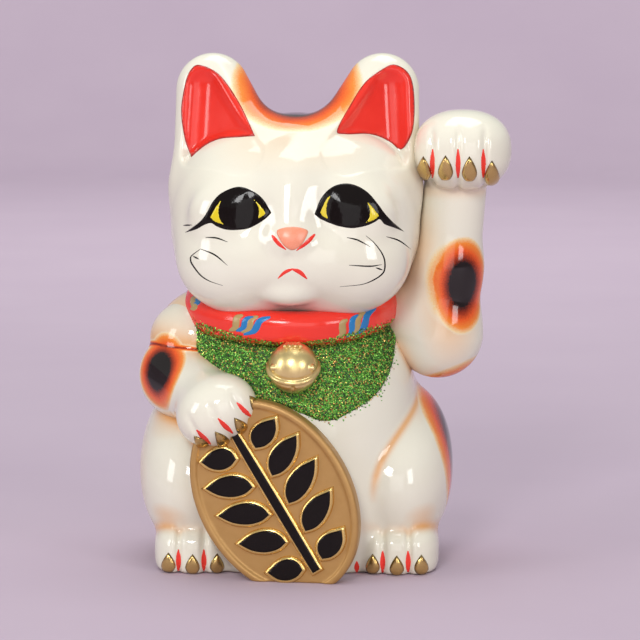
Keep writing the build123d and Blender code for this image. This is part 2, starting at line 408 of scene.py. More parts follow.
def close_to(p, field, width):
    """1 where another casting is near, falling off over about width."""
    return np.exp(-(np.maximum(field(p), 0) / width) ** 2)


# ---- materials
def new_material(name):
    material = bpy.data.materials.new(name)
    material.use_nodes = True
    tree = material.node_tree
    tree.nodes.clear()
    shader = tree.nodes.new("ShaderNodeBsdfPrincipled")
    output = tree.nodes.new("ShaderNodeOutputMaterial")
    tree.links.new(shader.outputs[0], output.inputs[0])
    return material, tree, shader


def noise(tree, scale, detail=3.0):
    """Noise over the object's own coordinates; scale is in turns per metre."""
    place = tree.nodes.new("ShaderNodeTexCoord")
    node = tree.nodes.new("ShaderNodeTexNoise")
    node.inputs["Scale"].default_value = scale
    node.inputs["Detail"].default_value = detail
    node.inputs["Roughness"].default_value = 0.55
    tree.links.new(place.outputs["Object"], node.inputs["Vector"])
    return node.outputs["Fac"]


def math_node(tree, operation, a, b=0.0, clamp=False):
    node = tree.nodes.new("ShaderNodeMath")
    node.operation = operation
    node.use_clamp = clamp
    for socket, value in zip(node.inputs, (a, b)):
        if isinstance(value, (int, float)):
            socket.default_value = value
        else:
            tree.links.new(value, socket)
    return node.outputs[0]


def ramp(tree, source, stops):
    node = tree.nodes.new("ShaderNodeValToRGB")
    elements = node.color_ramp.elements
    while len(elements) < len(stops):
        elements.new(0.5)
    for element, (place, colour) in zip(elements, stops):
        element.position = place
        element.color = (*colour, 1)
    tree.links.new(source, node.inputs["Fac"])
    return node.outputs["Color"]


def mix(tree, factor, a, b):
    node = tree.nodes.new("ShaderNodeMix")
    node.data_type = "RGBA"
    for socket, value in ((node.inputs["Factor"], factor), (node.inputs[6], a), (node.inputs[7], b)):
        if isinstance(value, (int, float)):
            socket.default_value = value
        elif isinstance(value, tuple):
            socket.default_value = (*value, 1)
        else:
            tree.links.new(value, socket)
    return node.outputs[2]


def attribute(tree, name):
    node = tree.nodes.new("ShaderNodeAttribute")
    node.attribute_name = name
    return node.outputs["Fac"]


def bump(tree, shader, height, strength, distance):
    node = tree.nodes.new("ShaderNodeBump")
    node.inputs["Strength"].default_value = strength
    node.inputs["Distance"].default_value = distance
    tree.links.new(height, node.inputs["Height"])
    tree.links.new(node.outputs["Normal"], shader.inputs["Normal"])


def uneven(tree, scale, spread, least):
    """A value that wanders up from least by as much as spread."""
    return math_node(tree, "ADD", math_node(tree, "MULTIPLY", noise(tree, scale), spread), least)


GLAZE = (0.80, 0.785, 0.665)
GLAZE_WARM = (0.79, 0.75, 0.60)
# Orange tan, used both for airbrushing and for painted shade in creases and where parts meet.
TAN = (0.76, 0.36, 0.10)
BLACK = (0.012, 0.008, 0.007)


def glaze_material():
    """Warm white glaze with airbrushed calico spots, a tan tint that is partly airbrush and partly painted
    shade in creases and where parts meet, and a bare biscuit base.
    """
    material, tree, shader = new_material("white_glaze")
    base = mix(tree, noise(tree, 22), GLAZE, GLAZE_WARM)
    speck = math_node(tree, "SUBTRACT", noise(tree, 1500, 2.0), 0.5)
    # Tan tint, partly airbrush and partly painted shade in creases and where parts meet, speckled a little.
    tan_and_shade = math_node(tree, "ADD", attribute(tree, "tan_and_shade"), math_node(tree, "MULTIPLY", speck, 0.10))
    tan_and_shade = math_node(tree, "MULTIPLY", tan_and_shade, attribute(tree, "tan_on"), clamp=True)
    base = mix(tree, tan_and_shade, base, TAN)
    wobble = math_node(tree, "MULTIPLY", math_node(tree, "SUBTRACT", noise(tree, 90, 2.0), 0.5), 0.10)
    grain = math_node(tree, "ADD", math_node(tree, "MULTIPLY", speck, 0.13), wobble)
    spot = attribute(tree, "spot")
    sprayed = math_node(tree, "GREATER_THAN", spot, 0.001)
    shade = math_node(tree, "ADD", spot, math_node(tree, "MULTIPLY", grain, sprayed), clamp=True)
    colour = ramp(tree, shade, (
        (0.0, GLAZE), (0.14, (0.85, 0.62, 0.32)), (0.28, (0.86, 0.26, 0.04)),
        (0.46, (0.78, 0.10, 0.015)), (0.58, (0.34, 0.035, 0.008)), (0.68, BLACK), (1.0, BLACK),
    ))
    cover = math_node(tree, "MULTIPLY", shade, 8.0, clamp=True)
    base = mix(tree, cover, base, colour)
    bare = attribute(tree, "bare")
    biscuit = mix(tree, noise(tree, 400), (0.62, 0.52, 0.40), (0.50, 0.40, 0.29))
    base = mix(tree, bare, base, biscuit)
    tree.links.new(base, shader.inputs["Base Color"])
    clay = math_node(tree, "MULTIPLY", bare, 0.6)
    rough = math_node(tree, "ADD", uneven(tree, 60, 0.05, 0.055), clay, clamp=True)
    tree.links.new(rough, shader.inputs["Roughness"])
    shader.inputs["IOR"].default_value = 1.52
    bump(tree, shader, noise(tree, 45, 2.0), 0.10, 0.0012)
    return material


def rimmed(tree, base, rim, dark, share):
    """Darkens a colour along the edge of its film."""
    if not rim:
        return base
    shade = math_node(tree, "MULTIPLY", attribute(tree, "edge"), rim, clamp=True)
    return mix(tree, shade, base, tuple(share * part for part in dark))


def enamel(name, colour, dark, roughness=0.12, scale=120, rim=0.0):
    """Brushed-on glossy paint: slightly uneven colour, gloss and thickness, darker along its edge."""
    material, tree, shader = new_material(name)
    base = rimmed(tree, mix(tree, noise(tree, scale), dark, colour), rim, dark, 0.25)
    tree.links.new(base, shader.inputs["Base Color"])
    tree.links.new(uneven(tree, scale * 2, 0.12, roughness), shader.inputs["Roughness"])
    bump(tree, shader, noise(tree, scale * 2.5, 2.0), 0.25, 0.0004)
    return material


def gold(name, colour, dark, roughness, metallic=0.85, rim=0.0):
    """Gold paint, part metal flake and part lacquer."""
    material, tree, shader = new_material(name)
    base = rimmed(tree, mix(tree, noise(tree, 160), dark, colour), rim, dark, 0.2)
    tree.links.new(base, shader.inputs["Base Color"])
    tree.links.new(uneven(tree, 900, 0.14, roughness), shader.inputs["Roughness"])
    shader.inputs["Metallic"].default_value = metallic
    bump(tree, shader, noise(tree, 700, 3.0), 0.18, 0.0003)
    return material


white_glaze = glaze_material()
red_glaze = enamel("red_enamel", (0.90, 0.05, 0.028), (0.80, 0.03, 0.018), 0.10, 60)
ear_red = enamel("ear_red", (0.88, 0.045, 0.025), (0.70, 0.02, 0.012), 0.10, 45, 0.8)
black_paint = enamel("black_enamel", (0.006, 0.004, 0.004), (0.010, 0.007, 0.006), 0.02)
black_paint.node_tree.nodes["Principled BSDF"].inputs["Specular IOR Level"].default_value = 0.16
yellow_paint = enamel("yellow_enamel", (0.80, 0.66, 0.02), (0.70, 0.52, 0.015), 0.12)
pink_paint = enamel("pink_enamel", (0.93, 0.36, 0.22), (0.86, 0.28, 0.16), 0.22)
blue_paint = enamel("blue_enamel", (0.02, 0.24, 0.56), (0.015, 0.16, 0.42), 0.16)
gold_stroke = enamel("gold_stroke", (0.50, 0.36, 0.15), (0.38, 0.26, 0.09), 0.20)
claw_gold = gold("claw_gold", (0.70, 0.50, 0.20), (0.52, 0.34, 0.11), 0.16, 0.9, 0.9)
coin_gold = gold("coin_gold", (0.50, 0.29, 0.10), (0.43, 0.235, 0.07), 0.36, 0.40)
rim_gold = gold("rim_gold", (0.86, 0.62, 0.24), (0.72, 0.48, 0.15), 0.18, 0.9)
bell_gold = gold("bell_gold", (0.90, 0.72, 0.34), (0.80, 0.60, 0.24), 0.26, 0.9)


def finish_piece(piece, slot, material, *nodes):
    """Rides on the one body and hides the nodes that it stands for; the slot is not used."""
    piece.data.materials.append(material)
    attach(piece, "root")
    if nodes:
        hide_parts(*nodes)


# ---- the castings
MARGIN = np.array((3, 3, 3))
CASTING_STEP = 0.95  # spacing of the mesh on the large castings
LIMB_STEP = 0.8
SPOTS = (
    (FIST + (1.4, -6, -65), (16, 24, 24)),
    ((-64.5, -31, 95.5), (15, 20, 20)),
    (HEAD + (1, 4, 57), (37, 37, 30)),
    ((80, 3, 61), (26, 34, 44)),
    ((-34, 66, 92), (36, 26, 40)),
    ((-78, 34, 40), (20, 26, 26)),
    (tail_high + (-8, 0, -6), (20, 20, 20)),
)
BRUSHED = (FIST + (-5.0, -16, -63), (18, 20, 24))
SPRAY_FALL = 0.65  # below 1 a spot stays dark further out from its centre


def all_spots(p):
    """Airbrushed spots, with a brushed orange oval under the one on the raised arm."""
    sprayed = np.max([glow(p, centre, radii) for centre, radii in SPOTS], axis=0) ** SPRAY_FALL
    amount = glow(p, *BRUSHED)
    return np.maximum(sprayed, np.minimum(0.9 * amount, 0.2) + np.clip(6 * (amount - 0.28), 0, 0.17))


def castings():
    """The five glazed castings, each with its tints. Returns all but the bobtail by name."""
    made = {}
    low, high = (torso_low[0], -56, -2) - MARGIN, (*torso_high[:2], 133) + MARGIN
    torso, p = cast("torso", torso_field, low, high, CASTING_STEP)
    folds = [belly, shoulder, lambda q: haunch(q, -1), lambda q: haunch(q, 1)]
    feet = [lambda q: np.minimum(haunch(q, -1), haunch(q, 1)), lambda q: np.minimum(foot(q, -1), foot(q, 1))]
    outside = np.clip((np.abs(p[:, 0]) - 48) / 14, 0, 1)
    # Tan tint: partly airbrush, partly painted shade in the creases of belly, chest, thighs and feet (more on
    # the outer sides), where arms and tail meet the body, and in patches under the resting paw, along the
    # left thigh and at the foot creases' ends.
    tan_and_shade = 0.85 * crease(p, folds, 1.8) * np.clip((p[:, 2] - 34) / 14, 0, 1)
    tan_and_shade += 0.75 * crease(p, feet, 3.0) * (0.25 + 0.75 * outside)
    tan_and_shade += 0.6 * close_to(p, raised_arm_field, 3.5) + 0.5 * close_to(p, resting_arm_field, 3.5)
    tan_and_shade += 0.5 * close_to(p, tail_field, 4)
    tan_and_shade += 0.6 * glow(p, (-58, -24, 75), (22, 22, 15)) + 0.35 * glow(p, (-78, -10, 40), (9, 46, 44))
    tan_and_shade += 0.6 * glow(p, (-63, -44, 27), (15, 14, 7)) + 0.6 * glow(p, (66, -44, 27), (14, 14, 8))
    within = (np.hypot(p[:, 0] - POUR_HOLE[0], p[:, 1] - POUR_HOLE[1]) < 48) & (torso_field_outside(p) < -3)
    bare = np.where((p[:, 2] < 0.7) | within, 1, 0)
    glaze_tints(torso, np.clip(tan_and_shade, 0, 0.9), np.where(p[:, 2] > 2, 1, 0), all_spots(p), bare)
    finish_piece(torso, "white_glaze", white_glaze, "torso_casting")
    made["torso"] = torso

    head, p = cast("head", head_field, (head_low[0], HEAD[1] - 64, head_low[2] - 4) - MARGIN,
                   (head_high[0], HEAD[1] + 52, ear_top) + MARGIN, CASTING_STEP)
    # Tan tint on the head: airbrush over the brow, and painted shade where the raised arm meets the head.
    tan_and_shade = 0.35 * glow(p, HEAD + (0, -34, 44), (46, 26, 26))
    tan_and_shade += 0.15 * close_to(p, raised_arm_field, 5)
    glaze_tints(head, np.clip(tan_and_shade, 0, 0.9), np.ones(len(p)), all_spots(p), np.zeros(len(p)))
    finish_piece(head, "white_glaze", white_glaze, "head_casting", "left_ear", "right_ear")
    made["head"] = head

    low, high = fist_low - MARGIN - (4, 0, 0), fist_high + MARGIN
    arm, p = cast("raised_arm", raised_arm_field, low, high, LIMB_STEP)
    # Tan tint: painted shade where the arm meets the belly and, low down, the head, and a painted shadow line
    # under the overhanging fist; the round patch lower down is airbrushed tan round the spot.
    low_down = np.clip((FIST[2] - 24 - p[:, 2]) / 22, 0, 1)
    tan_and_shade = 0.35 * close_to(p, belly, 5) + 0.45 * close_to(p, head_core, 9) * low_down
    tan_and_shade += 0.25 * np.exp(-((p[:, 2] - FIST[2] + 20) / 3) ** 2)
    tan_and_shade += 0.8 * glow(p, FIST + (-4, -10, -78), (18, 26, 30))
    glaze_tints(arm, np.clip(tan_and_shade, 0, 0.9), np.ones(len(p)), all_spots(p), np.zeros(len(p)))
    finish_piece(arm, "white_glaze", white_glaze, "raised_arm_casting")
    made["raised_arm"] = arm

    low, high = paw_low - MARGIN - (2, 0, 2), paw_high + MARGIN + (4, 8, 18)
    arm, p = cast("resting_arm", resting_arm_field, low, high, LIMB_STEP)
    fold = [upper_arm, forearm]
    # Tan tint: painted shade in the fold between upper arm and forearm, stronger on the upper-arm side, and
    # where the arm meets the belly.
    above = np.where(forearm(p) > upper_arm(p), 0.9, 0.4)
    tan_and_shade = above * crease(p, fold, 7) + 0.4 * close_to(p, belly, 4)
    # A dark red-brown painted shade line along the same fold, laid through the spot colours.
    spot = np.maximum(all_spots(p), 0.64 * crease(p, fold, 1.2))
    glaze_tints(arm, np.clip(tan_and_shade, 0, 0.9), np.ones(len(p)), spot, np.zeros(len(p)))
    finish_piece(arm, "white_glaze", white_glaze, "resting_arm_casting")
    made["resting_arm"] = arm

    bob, p = cast("bobtail", tail_field, tail_low - MARGIN, tail_high + MARGIN, LIMB_STEP)
    # The bobtail's tan tint is painted shade where it meets the belly.
    glaze_tints(bob, 0.6 * close_to(p, belly, 4), np.ones(len(p)), all_spots(p), np.zeros(len(p)))
    finish_piece(bob, "white_glaze", white_glaze, "tail")
    return made


def torso_field_outside(p):
    """The torso without its hollow."""
    return np.min(torso_parts(p), axis=0)


made = castings()

# ---- painting from in front
def tree_of(*pieces):
    """One search tree over several pieces."""
    points, faces = [], []
    for piece in pieces:
        first = len(points)
        points += [v.co.copy() for v in piece.data.vertices]
        faces += [[first + i for i in face.vertices] for face in piece.data.polygons]
    return BVHTree.FromPolygons(points, faces)


def canvas(point):
    """Where a point shows on the picture plane through the aim point, in millimetres from its middle."""
    ray = Vector(point) - eye_point
    ray *= CAMERA_DISTANCE / ray.dot(sight)
    return np.array((ray.dot(right_hand), ray.dot(overhead)))


def strike(target, u, v):
    """Point and normal, in millimetres, where the brush at (u, v) on the picture plane meets the target."""
    if callable(target):
        return target(u, v)
    start = eye_point * MM
    ray = (sight * CAMERA_DISTANCE + right_hand * u + overhead * v).normalized()
    point, normal, _, _ = target.ray_cast(start, ray)
    reach = CAMERA_DISTANCE * MM
    for _ in range(6):
        if point is not None:
            return point / MM, normal
        edge, normal, _, _ = target.find_nearest(start + ray * reach)
        reach = (edge - start).dot(ray)
    return edge / MM, normal


def run_between(a, b, c, d, steps):
    """Points from b towards c along the smooth line through four neighbours."""
    return [
        0.5 * (2 * b + (c - a) * t + (2 * a - 5 * b + 4 * c - d) * t * t + (3 * b - a - 3 * c + d) * t ** 3)
        for t in np.arange(steps) / steps
    ]


def rounded(points, steps=8):
    """Closed smooth outline through the points; a point given twice running is a corner."""
    outline = []
    count = len(points)
    for i in range(count):
        a, b, c, d = (np.array(points[(i + j) % count], dtype=float) for j in (-1, 0, 1, 2))
        if np.allclose(b, c):
            continue
        outline += run_between(a, b, c, d, steps)
    return outline


def edge_distance(points, outline):
    """Distance of each point from a closed outline."""
    start = np.array(outline)
    run = np.roll(start, -1, axis=0) - start
    gap = points[:, None, :] - start[None]
    along = np.clip((gap * run).sum(-1) / np.maximum((run * run).sum(-1), 1e-9), 0, 1)
    return np.sqrt(((gap - along[..., None] * run) ** 2).sum(-1)).min(axis=1)


def inside(points, outline):
    """Which points lie inside a closed outline."""
    start = np.array(outline)
    end = np.roll(start, -1, axis=0)
    x, y = points[:, 0, None], points[:, 1, None]
    crosses = (start[:, 1] > y) != (end[:, 1] > y)
    with np.errstate(divide="ignore", invalid="ignore"):
        at = start[:, 0] + (y - start[:, 1]) * (end[:, 0] - start[:, 0]) / (end[:, 1] - start[:, 1])
    return (crosses & (x < at)).sum(axis=1) % 2 == 1


def film(name, target, anchor, outline, material, slot, height=0.12, ease=0.5, pitch=0.8, node=(), shape=None,
         sink=0.25, step=0.05):
    """Closed film of paint or relief: an outline about an anchor on the picture plane, laid on the target."""
    edge = np.array(outline) + anchor
    low, high = edge.min(axis=0), edge.max(axis=0)
    x, y = np.meshgrid(np.arange(low[0], high[0], pitch), np.arange(low[1], high[1], pitch))
    x[1::2] += pitch / 2
    dots = np.stack((x.ravel(), y.ravel()), axis=1)
    dots = dots[inside(dots, edge)]
    if len(dots):
        dots = dots[edge_distance(dots, edge) > 0.35 * pitch]
    flat = np.concatenate((edge, dots)) if len(dots) else edge
    ring = [(i, (i + 1) % len(edge)) for i in range(len(edge))]
    whole = [list(range(len(edge)))]
    knots, _, faces, _, _, _ = delaunay_2d_cdt([Vector(q) for q in flat], ring, whole, 1, 1e-5)
    flat = np.array([tuple(q) for q in knots])
    depth = edge_distance(flat, edge)
    lift = step + (height - step) * np.sqrt(1 - (1 - np.clip(depth / ease, 0, 1)) ** 2)
    if shape is not None:
        lift = lift + shape(flat - anchor, depth)
    top, under = [], []
    for (u, v), rise in zip(flat, lift):
        point, normal = strike(target, u, v)
        top.append((point + normal * rise) * MM)
        under.append((point - normal * sink) * MM)
    piece = closed_sheet(name, top, under, [tuple(face) for face in faces], material, slot, node)
    tint(piece, "edge", np.tile(np.clip(1 - depth / 0.7, 0, 1), 2))
    return piece


def closed_sheet(name, top, under, faces, material, slot, node=()):
    """Closes a sheet with its own copy below it and a wall round the edge."""
    count = len(top)
    sides = {}
    for face in faces:
        for a, b in zip(face, face[1:] + face[:1]):
            if (b, a) in sides:
                del sides[(b, a)]
            else:
                sides[(a, b)] = True
    all_faces = list(faces) + [tuple(count + i for i in face[::-1]) for face in faces]
    all_faces += [(b, a, count + a, count + b) for a, b in sides]
    piece = mesh_object(name, [tuple(q) for q in top + under], all_faces)
    outward = bmesh.new()
    outward.from_mesh(piece.data)
    bmesh.ops.recalc_face_normals(outward, faces=outward.faces)
    outward.to_mesh(piece.data)
    outward.free()
    finish_piece(piece, slot, material, *node)
    return piece


def spline(points, steps=8):
    """Open smooth line through the points."""
    points = [np.array(q, dtype=float) for q in points]
    padded = [2 * points[0] - points[1], *points, 2 * points[-1] - points[-2]]
    line = []
    for a, b, c, d in zip(padded, padded[1:], padded[2:], padded[3:]):
        line += run_between(a, b, c, d, steps)
    return line + [points[-1]]


def stroke(name, target, anchor, points, widths, material, slot, height=0.10):
    """Closed ribbon of paint along a brush line; widths are at its start, middle and end."""
    line = [q + anchor for q in spline(points)]
    count = len(line)
    top, under, faces = [], [], []
    across_lift = (-0.03, 0.7, 1.0, 0.7, -0.03)
    for i, here in enumerate(line):
        ahead = line[min(i + 1, count - 1)] - line[max(i - 1, 0)]
        side = np.array((-ahead[1], ahead[0])) / max(np.hypot(*ahead), 1e-6)
        width = np.interp(i / (count - 1), (0, 0.5, 1), widths)
        width *= math.sqrt(min(1, 0.15 + 3 * min(i, count - 1 - i) / count))
        for place, lift in zip(np.linspace(-0.5, 0.5, 5), across_lift):
            u, v = here + side * width * place
            point, normal = strike(target, u, v)
            top.append((point + normal * (height * lift if lift > 0 else lift)) * MM)
            under.append((point - normal * 0.2) * MM)
        if i:
            for j in range(4):
                a = 5 * i + j
                faces.append((a - 5, a - 4, a + 1, a))
    return closed_sheet(name, top, under, faces, material, slot)


head_tree = tree_of(made["head"])
face_at = canvas(HEAD)

# -- ears: red enamel in the scooped fronts
EAR_LEFT = (
    (-45.9, 73.2), (-36.5, 68.5), (-27, 55), (-19.5, 39.2), (-19.5, 39.2), (-27, 38.6), (-36, 37.8),
    (-43.5, 34.5), (-50, 29), (-50, 29), (-53.2, 38), (-54.8, 51.4), (-52.9, 64.4), (-50.3, 70.8),
)
EAR_RIGHT = (
    (47.2, 73.4), (52.9, 70.6), (56.0, 64.8), (57.0, 53.8), (56.3, 42.8), (53.5, 35.6), (50.1, 32.7),
    (45.7, 36), (40, 38.9), (33.7, 40.2), (24.1, 40), (19.8, 41.8), (26.1, 53.8), (33.3, 64.8),
    (41.9, 71.4),
)
film("left_ear_red", head_tree, face_at, rounded(EAR_LEFT), ear_red, "red_glaze", 0.34, 1.0, 1.0, step=0.16)
film("right_ear_red", head_tree, face_at, rounded(EAR_RIGHT), ear_red, "red_glaze", 0.34, 1.0, 1.0, step=0.16)

# -- eyes
EYE_LEFT = (
    (-11.6, 2.4), (-11.6, 2.4), (-14.9, -0.9), (-21.7, -4.8), (-27.7, -5.9), (-33.6, -5.7), (-38, -4.1),
    (-40.6, -2.6), (-44, -3.6), (-47.6, -5.6), (-53.1, -7.2), (-53.1, -7.2), (-49.4, -4.6), (-45.6, -1.6),
    (-42.6, 2.4), (-39.7, 7.7), (-35.3, 12), (-27.7, 14.8), (-21, 13), (-15.7, 9.0),
)
YELLOW_LEFT_OUTER = (
    (-35.0, 9.2), (-38.4, 5.1), (-41.1, 0.3), (-41.1, 0.3), (-38.8, -2.0), (-34, -3.6), (-34, -3.6),
    (-36, -0.9), (-36.8, 2.7), (-36.2, 6.6),
)
YELLOW_LEFT_INNER = (
    (-21.3, 9.9), (-17.3, 6.4), (-14, 2.2), (-14, 2.2), (-15.5, 0.6), (-18.1, -0.6), (-18.1, -0.6),
    (-17.7, 3.5), (-18.9, 6.8),
)
EYE_RIGHT = (
    (9.1, 1.7), (9.1, 1.7), (9.9, 3.9), (11.9, 8.8), (15.3, 13.0), (19.5, 15.6), (24.6, 16.4),
    (29.9, 15.1), (35, 11.8), (39.3, 6.8), (42.7, 2.2), (46.3, -1.7), (52.1, -6.7), (52.1, -6.7),
    (47.5, -4.9), (42.8, -3.2), (40.4, -0.8), (38.0, -2.1), (34.1, -3.8), (28.1, -5.0), (23, -4.6),
    (17.9, -3.2), (11.9, -0.6),
)
YELLOW_RIGHT_INNER = (
    (17.2, 11.1), (14.2, 8.3), (11.6, 2.3), (11.6, 2.3), (13.2, 0.4), (15.8, -0.8), (15.8, -0.8),
    (14.9, 3.2), (15.6, 7.7),
)
YELLOW_RIGHT_OUTER = (
    (33.5, 8.6), (37.1, 4.9), (40.2, 1.0), (40.2, 1.0), (37.8, -1.1), (33, -2.8), (33, -2.8), (35, -0.2),
    (35.5, 3.2), (34.7, 6.3),
)
film("left_eye", head_tree, face_at, rounded(EYE_LEFT), black_paint, "white_glaze", 0.14)
film("right_eye", head_tree, face_at, rounded(EYE_RIGHT), black_paint, "white_glaze", 0.14)
for label, outline in (
    ("left_eye_yellow_outer", YELLOW_LEFT_OUTER), ("left_eye_yellow_inner", YELLOW_LEFT_INNER),
    ("right_eye_yellow_inner", YELLOW_RIGHT_INNER), ("right_eye_yellow_outer", YELLOW_RIGHT_OUTER),
):
    film(label, head_tree, face_at, rounded(outline, 5), yellow_paint, "white_glaze", 0.26, 0.4, 0.6)

# -- nose and mouth
NOSE = (
    (-9.0, -6.4), (-5.4, -4.8), (-1.6, -4.4), (2.3, -4.8), (5.9, -6.4), (4.6, -10.2), (2.1, -13.8),
    (-1.6, -15.6), (-5.2, -13.8), (-7.8, -10.2),
)
film("nose", head_tree, face_at, rounded(NOSE, 6), pink_paint, "white_glaze", 0.35, 1.6, 0.8)
RED_LINES = (
    ("left_nostril", ((-11.4, -8.4), (-8.4, -12.2), (-4.6, -15.4)), (2.4, 2.3, 1.3)),
    ("right_nostril", ((9.3, -7.9), (5.4, -12.0), (0.4, -15.8)), (2.4, 2.3, 1.3)),
    ("left_lip", ((-8.5, -29.2), (-5.1, -26.2), (-1.4, -24.6)), (1.2, 1.9, 1.8)),
    ("right_lip", ((-1.8, -24.6), (2.1, -26.2), (5.5, -29.4)), (1.8, 2.6, 1.6)),
)
for label, points, widths in RED_LINES:
    stroke(label, head_tree, face_at, points, widths, red_glaze, "red_glaze")

# -- whiskers
WHISKERS = (
    ((-54.0, -3.7), (-49.6, -3.5)),
    ((-43.2, -9.4), (-37.8, -9.8), (-32.5, -11.7)),
    ((-45.6, -15), (-38.7, -17.9), (-32.6, -23)),
    (
        (-45.6, -15), (-49.6, -18), (-50.4, -19.8), (-49.6, -22.4), (-45.6, -27.6), (-41.1, -30.5),
        (-34.9, -32.6),
    ),
    ((-49.3, -18.4), (-46.2, -20)),
    ((24.6, -9.5), (29.9, -10.8), (35.9, -14)),
    ((43.5, -9.1), (49.6, -11), (55.5, -15.2)),
    (
        (33.7, -8.6), (38, -12.4), (41.9, -18), (42.9, -22.8), (41.9, -26.6), (37.6, -29.8), (31.5, -32.1),
        (21.3, -33.1),
    ),
    ((25.6, -22.8), (35.7, -23.3), (41.4, -22.5)),
    ((38.4, -24), (41.9, -25.1)),
)
WHISKER_WIDTHS = (0.65, 0.95, 0.45)
for number, points in enumerate(WHISKERS):
    name = f"whisker_{number}"
    stroke(name, head_tree, face_at, points, WHISKER_WIDTHS, black_paint, "white_glaze", 0.08)

# ---- claws and toe lines
def teardrop(width, height, lean=0.0):
    """Claw outline with its point up; lean turns it."""
    shape = (
        (0, 0.5), (0, 0.5), (0.22, 0.28), (0.42, 0.0), (0.46, -0.24), (0.28, -0.45), (0, -0.5),
        (-0.28, -0.45), (-0.46, -0.24), (-0.42, 0.0), (-0.22, 0.28),
    )
    c, s = math.cos(math.radians(lean)), math.sin(math.radians(lean))
    return rounded([(x * width * c - y * height * s, x * width * s + y * height * c) for x, y in shape], 4)


def toes(label, target, anchor, claws, lines, size, lean):
    """Gold claws and the red lines between the toes; all places are about an anchor on the picture plane."""
    for number, place in enumerate(claws):
        film(f"{label}_claw_{number}", target, anchor + np.array(place), teardrop(*size, lean), claw_gold,
             "coin_glaze", 1.3, 3.0, 0.8)
    for number, (start, end) in enumerate(lines):
        middle = (np.array(start) + np.array(end)) / 2
        stroke(f"{label}_line_{number}", target, anchor, (start, middle, end), (1.6, 2.9, 2.0), red_glaze,
               "red_glaze", 0.12)


fist_tree = tree_of(made["raised_arm"])
fist_at = canvas(FIST)
fist_claws = ((-18.4, -9.2), (-7.8, -8.7), (3.7, -9.2), (14.5, -11.2))
fist_lines = [((across, 0.3), (across, -13.6)) for across in (-14.0, -1.8, 10.3)]
toes("raised", fist_tree, fist_at, fist_claws, fist_lines, (7.8, 12.2), 0)
foot_tree = tree_of(made["torso"])
for side, label in ((-1, "left"), (1, "right")):
    foot_at = canvas((FOOT_X[side], -48, 6))
    lines = (((-7.0, 6), (-7.0, -4.8)), ((5.2, 6), (5.2, -4.8)))
    if side > 0:
        lines += (((-19.4, 1.0), (-19.4, -4.6)),)
    toes(label, foot_tree, foot_at, ((-11.8, -0.2), (-0.2, -1.0), (11.6, -0.6)), lines, (7.4, 9.6), 0)
paw_tree = tree_of(made["resting_arm"])
paw_claws = ((-8.0, -15.6), (2.0, -13.6), (11.2, -7.0), (18.6, 3.6))
paw_lines = (((-9.9, -8.9), (-3.0, -15.9)), ((0.4, -3.4), (7.6, -10.6)), ((9.4, 4.2), (16.8, -3.0)))
toes("resting", paw_tree, canvas(PAW), paw_claws, paw_lines, (6.6, 10.0), 38)

# ---- coin
COIN_TILT = math.radians(31.5)
COIN_YAW = math.radians(8)
COIN_LONG = 49.6
COIN_SHORT = 36.5
COIN_HALF = 4.9
COIN_FIELD = COIN_HALF - 1.3
coin_out = np.array((-math.sin(COIN_YAW), -math.cos(COIN_YAW), 0))
coin_across = np.array((math.cos(COIN_YAW), -math.sin(COIN_YAW), 0))
coin_long = np.array((0, 0, math.cos(COIN_TILT))) - coin_across * math.sin(COIN_TILT)
coin_side = coin_across * math.cos(COIN_TILT) + np.array((0, 0, math.sin(COIN_TILT)))
coin_middle = np.array((COIN[0], COIN[1], coin_high[2] - 46.6))


def coin_field(p):
    q = (p - coin_middle) @ np.stack((coin_side, coin_long, coin_out), axis=1)
    flat = q * np.array((1, 1, 0))
    edge = egg(flat, (0, 0, 0), (COIN_SHORT, COIN_LONG, 1))
    body = smax(edge, np.abs(q[:, 2]) - COIN_HALF, 2.2)
    recess = smax(edge + 3.6, COIN_FIELD - q[:, 2], 1.0)
    return smax(smax(body, -recess, 1.4), -p[:, 2], 0.6)


coin, _ = cast("coin", coin_field, coin_low - MARGIN, coin_high + MARGIN, 0.7)
finish_piece(coin, "coin_glaze", coin_gold, "coin_plaque")


def on_coin(side, along):
    """Point and normal on the coin's sunk field."""
    spot = coin_middle + coin_side * side + coin_long * along + coin_out * COIN_FIELD
    return Vector(spot), Vector(coin_out)


def leaf(length, width, bend):
    """Leaf outline from its foot at the origin, pointing along +y and bending sideways."""
    edge = ((0, 0.0), (0, 0.0), (0.34, 0.16), (0.5, 0.42), (0.38, 0.72), (0, 1.0), (0, 1.0), (-0.38, 0.72),
            (-0.5, 0.42), (-0.34, 0.16))
    return [(x * width + bend * y * y, y * length) for x, y in edge]


def placed(outline, x, y, degrees):
    c, s = math.cos(math.radians(degrees)), math.sin(math.radians(degrees))
    return [(x + px * c - py * s, y + px * s + py * c) for px, py in outline]


def raised_on_coin(side, along):
    spot, normal = on_coin(side, along)
    return spot + normal * 1.75, normal


def relief(label, outline, top):
    """Raised gold shape with a black top."""
    outline, top = rounded(outline, 6), rounded(top, 6)
    film(f"{label}_rim", on_coin, (0, 0), outline, rim_gold, "coin_glaze", 1.8, 1.5, 0.7, sink=0.5)
    film(f"{label}_top", raised_on_coin, (0, 0), top, black_paint, "coin_glaze", 0.14, 0.4, 0.9, sink=0.3)


def stem(half_width, low, high):
    """Stem outline from low to high, a little wider at its middle."""
    foot = ((-half_width, low), (-half_width, low), (half_width, low), (half_width, low))
    right = ((half_width * 1.1, 0), (half_width * 0.8, high - 3))
    left = ((-half_width * 0.8, high - 3), (-half_width * 1.1, 0))
    return (*foot, *right, (0, high), *left)


